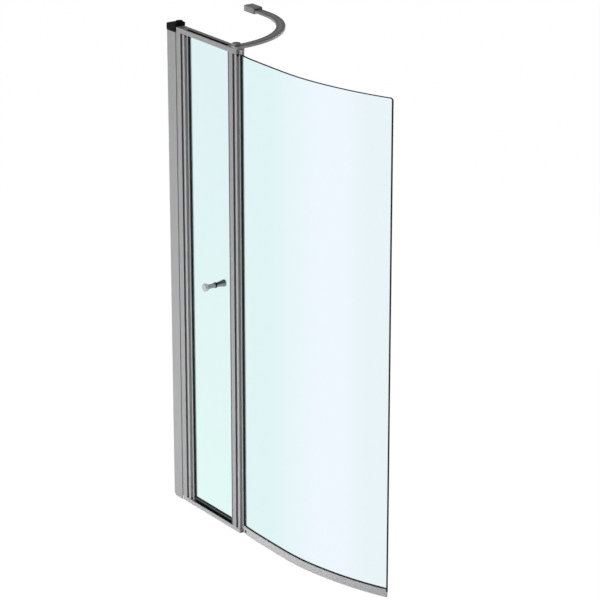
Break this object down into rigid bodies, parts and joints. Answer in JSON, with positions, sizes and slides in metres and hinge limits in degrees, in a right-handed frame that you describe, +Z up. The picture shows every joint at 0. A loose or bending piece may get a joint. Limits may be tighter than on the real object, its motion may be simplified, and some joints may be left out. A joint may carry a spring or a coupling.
{
  "type": "bath shower screen with door",
  "caption": "Framed bath shower screen: a narrow pivoting access door with a knob, a curved pivoting glass panel and a bent top brace to the wall.",
  "frame": {"origin": "on the wall face, at mid depth and half the height of the frame", "axes": "+Z up, +X out from the wall along the door, +Y into the bath; the room side faces -Y"},
  "size_m": [0.9553, 0.3318, 1.515],
  "materials": {
    "satin_aluminium": "satin anodised",
    "black_plastic": "fine moulded grain",
    "grey_plastic": "moulded, matt",
    "black_rubber": "extruded, matt",
    "grey_seal": "soft extruded strip",
    "dark_steel": "blackened",
    "clear_seal": "clear flexible",
    "toughened_glass": "polished, faint green",
    "chrome": "polished",
    "steel": "stainless"
  },
  "bodies": {
    "frame": {"wall_profile": "satin_aluminium", "hinge_stile": "satin_aluminium", "lock_stile": "satin_aluminium", "top_rail": "satin_aluminium", "hinge_corner_block": "satin_aluminium", "post_corner_block": "satin_aluminium", "sill": "satin_aluminium", "brace_arm": "satin_aluminium", "brace_end_bracket": "satin_aluminium", "brace_wall_bracket": "satin_aluminium", "wall_profile_cap": "black_plastic", "brace_socket_liner": "black_plastic", "hinge_foot": "grey_plastic", "post_foot": "grey_plastic", "brace_screw_cap": "grey_plastic", "strike_seal": "grey_seal", "hinge_wiper": "black_rubber", "post_wiper": "black_rubber", "adjustment_screws": "steel", "corner_screws": "steel", "door_top_pin": "steel", "door_bottom_pin": "steel", "panel_top_pin": "steel", "panel_bottom_pin": "steel", "brace_arm_screw": "steel", "end_bracket_screw": "steel", "brace_grub_screw": "steel"},
    "door": {"door_hinge_profile": "satin_aluminium", "door_top_bearing": "black_plastic", "door_bottom_bearing": "black_plastic", "door_gasket": "black_rubber", "door_glass": "toughened_glass", "door_edge_seal": "clear_seal", "door_bottom_seal": "black_rubber", "knob_front": "chrome", "knob_rear": "chrome", "knob_stud": "steel", "knob_washers": "black_plastic"},
    "panel": {"panel_hinge_profile": "satin_aluminium", "panel_top_bearing": "black_plastic", "panel_bottom_bearing": "black_plastic", "panel_gasket": "black_rubber", "panel_glass": "toughened_glass", "panel_bottom_rail": "satin_aluminium", "panel_drip_seal": "black_rubber", "panel_rail_screw": "dark_steel"}
  },
  "joints": [
    {"name": "door_hinge", "type": "hinge", "parent": "frame", "child": "door", "pos_m": [0.0813, 0, 0], "axis": [0, 0, 1], "range_deg": [0, 90]},
    {"name": "panel_hinge", "type": "hinge", "parent": "frame", "child": "panel", "pos_m": [0.347, 0, 0], "axis": [0, 0, 1], "range_deg": [-90, 90]}
  ]
}
